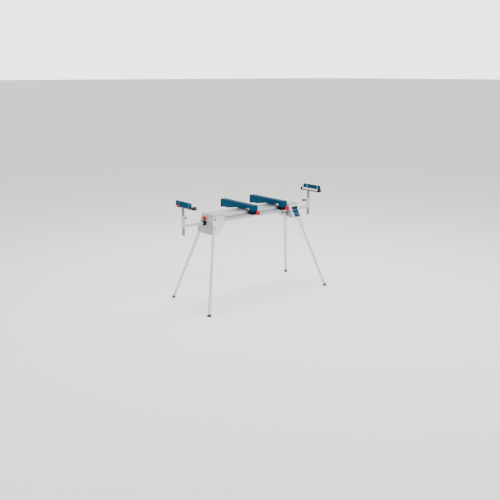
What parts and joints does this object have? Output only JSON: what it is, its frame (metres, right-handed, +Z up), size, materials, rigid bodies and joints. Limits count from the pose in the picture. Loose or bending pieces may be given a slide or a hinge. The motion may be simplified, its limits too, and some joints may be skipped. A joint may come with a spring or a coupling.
{
  "type": "mitre saw stand",
  "caption": "Folding stand with splayed tube legs, sliding end arms with height-adjustable roller supports and clamp-on saw brackets.",
  "frame": {"origin": "on the floor, at the middle of the footprint", "axes": "+X along the beam, +Y to the rear, where the saw brackets overhang, +Z up"},
  "size_m": [1.5488, 0.6829, 0.961],
  "materials": {
    "beam_aluminium": "mill finish extrusion",
    "light_grey_paint": "satin light grey powder coat",
    "mid_grey_paint": "satin grey powder coat",
    "blue_paint": "gloss petrol blue powder coat",
    "black_plastic": "moulded, matte",
    "red_plastic": "moulded, semi gloss",
    "zinc_steel": "bright zinc plate",
    "roller_metal": "satin",
    "foot_rubber": "moulded",
    "collar_plastic": "moulded light grey"
  },
  "bodies": {
    "frame": {"main_beam": "beam_aluminium", "end_cap_left": "light_grey_paint", "end_cap_right": "light_grey_paint", "arm_guide_left": "black_plastic", "arm_guide_right": "black_plastic", "inner_arm_guides": "black_plastic", "end_panel_left": "mid_grey_paint", "end_panel_right": "mid_grey_paint", "disc_plate_front_left": "light_grey_paint", "disc_plate_rear_right": "light_grey_paint", "strip_plate_front_right": "light_grey_paint", "strip_plate_rear_left": "light_grey_paint", "plate_bolts": "black_plastic", "pivot_bolts": "zinc_steel", "leg_brackets_left": "mid_grey_paint", "leg_brackets_right": "mid_grey_paint"},
    "leg_rear_right": {"leg_rear_right": "light_grey_paint", "thread_insert_rear_right": "black_plastic"},
    "adjustable_foot": {"foot_stem_rear_right": "zinc_steel", "foot_rear_right": "foot_rubber"},
    "leg_front_left": {"leg_front_left": "light_grey_paint", "foot_pad_front_left": "foot_rubber", "foot_collar_front_left": "collar_plastic"},
    "leg_front_right": {"leg_front_right": "light_grey_paint", "foot_front_right": "foot_rubber"},
    "leg_rear_left": {"leg_rear_left": "light_grey_paint", "foot_rear_left": "foot_rubber"},
    "leg_button_rear_right": {"leg_button_rear_right": "zinc_steel"},
    "leg_button_front_left": {"leg_button_front_left": "zinc_steel"},
    "leg_button_front_right": {"leg_button_front_right": "zinc_steel"},
    "leg_button_rear_left": {"leg_button_rear_left": "zinc_steel"},
    "arm_left": {"extension_arm_left": "mid_grey_paint", "arm_stop_left": "black_plastic"},
    "arm_knob_left": {"arm_knob_left": "red_plastic"},
    "post_left": {"post_left": "mid_grey_paint", "support_frame_left": "mid_grey_paint", "support_ends_left": "black_plastic"},
    "post_knob_left": {"post_knob_left": "red_plastic"},
    "roller_left": {"support_roller_left": "roller_metal"},
    "stop_left": {"stop_plate_left": "blue_paint"},
    "stop_knob_left": {"stop_knob_left": "red_plastic"},
    "bracket_left": {"saw_bracket_left": "blue_paint", "bracket_cap_left": "black_plastic", "clamp_jaw_left": "black_plastic"},
    "clamp_knob_left": {"clamp_knob_left": "red_plastic"},
    "arm_right": {"extension_arm_right": "mid_grey_paint", "arm_stop_right": "black_plastic"},
    "arm_knob_right": {"arm_knob_right": "red_plastic"},
    "post_right": {"post_right": "mid_grey_paint", "support_frame_right": "mid_grey_paint", "support_ends_right": "black_plastic"},
    "post_knob_right": {"post_knob_right": "red_plastic"},
    "roller_right": {"support_roller_right": "roller_metal"},
    "stop_right": {"stop_plate_right": "blue_paint"},
    "stop_knob_right": {"stop_knob_right": "red_plastic"},
    "bracket_right": {"saw_bracket_right": "blue_paint", "bracket_cap_right": "black_plastic", "clamp_jaw_right": "black_plastic"},
    "clamp_knob_right": {"clamp_knob_right": "red_plastic"}
  },
  "joints": [
    {"name": "leg_fold_rear_right", "type": "hinge", "parent": "frame", "child": "leg_rear_right", "pos_m": [0.501, 0.09, 0.701], "axis": [-0.1059, 0.9548, 0.2778], "range_deg": [0, 108.9]},
    {"name": "leg_button_rear_right_press", "type": "slide", "parent": "leg_rear_right", "child": "leg_button_rear_right", "axis": [-0.1059, 0.9548, 0.2778], "range_m": [-0.005, 0], "stiffness_N_per_m": 300, "springref_m": 0.003},
    {"name": "leg_fold_front_left", "type": "hinge", "parent": "frame", "child": "leg_front_left", "pos_m": [-0.501, -0.09, 0.701], "axis": [0.1059, -0.9548, 0.2778], "range_deg": [0, 108.9]},
    {"name": "leg_button_front_left_press", "type": "slide", "parent": "leg_front_left", "child": "leg_button_front_left", "axis": [0.1059, -0.9548, 0.2778], "range_m": [-0.005, 0], "stiffness_N_per_m": 300, "springref_m": 0.003},
    {"name": "leg_fold_front_right", "type": "hinge", "parent": "frame", "child": "leg_front_right", "pos_m": [0.501, -0.09, 0.701], "axis": [-0.0151, 0.9533, -0.3018], "range_deg": [0, 103.79]},
    {"name": "leg_button_front_right_press", "type": "slide", "parent": "leg_front_right", "child": "leg_button_front_right", "axis": [0.0151, -0.9533, 0.3018], "range_m": [-0.005, 0], "stiffness_N_per_m": 300, "springref_m": 0.003},
    {"name": "leg_fold_rear_left", "type": "hinge", "parent": "frame", "child": "leg_rear_left", "pos_m": [-0.501, 0.09, 0.701], "axis": [0.0151, -0.9533, -0.3018], "range_deg": [0, 103.79]},
    {"name": "leg_button_rear_left_press", "type": "slide", "parent": "leg_rear_left", "child": "leg_button_rear_left", "axis": [-0.0151, 0.9533, 0.3018], "range_m": [-0.005, 0], "stiffness_N_per_m": 300, "springref_m": 0.003},
    {"name": "foot_height", "type": "slide", "parent": "leg_rear_right", "child": "adjustable_foot", "axis": [0.293, 0.2969, -0.9088], "range_m": [-0.015, 0]},
    {"name": "arm_slide_left", "type": "slide", "parent": "frame", "child": "arm_left", "axis": [-1, 0, 0], "range_m": [-0.12, 0.24]},
    {"name": "arm_knob_left_turn", "type": "hinge", "parent": "frame", "child": "arm_knob_left", "pos_m": [-0.50895, 0.02, 0.779], "axis": [-0.977, 0, 0.2134], "continuous": true},
    {"name": "post_height_left", "type": "slide", "parent": "arm_left", "child": "post_left", "axis": [0, 0, 1], "range_m": [-0.045, 0.06]},
    {"name": "post_knob_left_turn", "type": "hinge", "parent": "arm_left", "child": "post_knob_left", "pos_m": [-0.721, 0.038, 0.803], "axis": [0.8, 0.6, 0], "continuous": true},
    {"name": "roller_left_spin", "type": "hinge", "parent": "post_left", "child": "roller_left", "pos_m": [-0.7355, 0, 0.9175], "axis": [0, 1, 0], "continuous": true},
    {"name": "stop_height_left", "type": "slide", "parent": "post_left", "child": "stop_left", "axis": [0, 0, 1], "range_m": [-0.034, 0]},
    {"name": "stop_knob_left_turn", "type": "hinge", "parent": "post_left", "child": "stop_knob_left", "pos_m": [-0.768, 0.055, 0.915], "axis": [-1, 0, 0], "continuous": true},
    {"name": "bracket_slide_left", "type": "slide", "parent": "frame", "child": "bracket_left", "axis": [1, 0, 0], "range_m": [-0.26, 0.12]},
    {"name": "clamp_knob_left_turn", "type": "hinge", "parent": "bracket_left", "child": "clamp_knob_left", "pos_m": [-0.052, -0.16, 0.797], "axis": [0, -1, 0], "continuous": true},
    {"name": "arm_slide_right", "type": "slide", "parent": "frame", "child": "arm_right", "axis": [1, 0, 0], "range_m": [-0.12, 0.24]},
    {"name": "arm_knob_right_turn", "type": "hinge", "parent": "frame", "child": "arm_knob_right", "pos_m": [0.50895, 0.02, 0.779], "axis": [0.977, 0, 0.2134], "continuous": true},
    {"name": "post_height_right", "type": "slide", "parent": "arm_right", "child": "post_right", "axis": [0, 0, 1], "range_m": [-0.045, 0.06]},
    {"name": "post_knob_right_turn", "type": "hinge", "parent": "arm_right", "child": "post_knob_right", "pos_m": [0.721, 0.038, 0.803], "axis": [-0.8, 0.6, 0], "continuous": true},
    {"name": "roller_right_spin", "type": "hinge", "parent": "post_right", "child": "roller_right", "pos_m": [0.7355, 0, 0.9175], "axis": [0, 1, 0], "continuous": true},
    {"name": "stop_height_right", "type": "slide", "parent": "post_right", "child": "stop_right", "axis": [0, 0, 1], "range_m": [-0.034, 0]},
    {"name": "stop_knob_right_turn", "type": "hinge", "parent": "post_right", "child": "stop_knob_right", "pos_m": [0.768, 0.055, 0.915], "axis": [1, 0, 0], "continuous": true},
    {"name": "bracket_slide_right", "type": "slide", "parent": "frame", "child": "bracket_right", "axis": [1, 0, 0], "range_m": [-0.12, 0.06]},
    {"name": "clamp_knob_right_turn", "type": "hinge", "parent": "bracket_right", "child": "clamp_knob_right", "pos_m": [0.304, -0.16, 0.797], "axis": [0, -1, 0], "continuous": true}
  ]
}
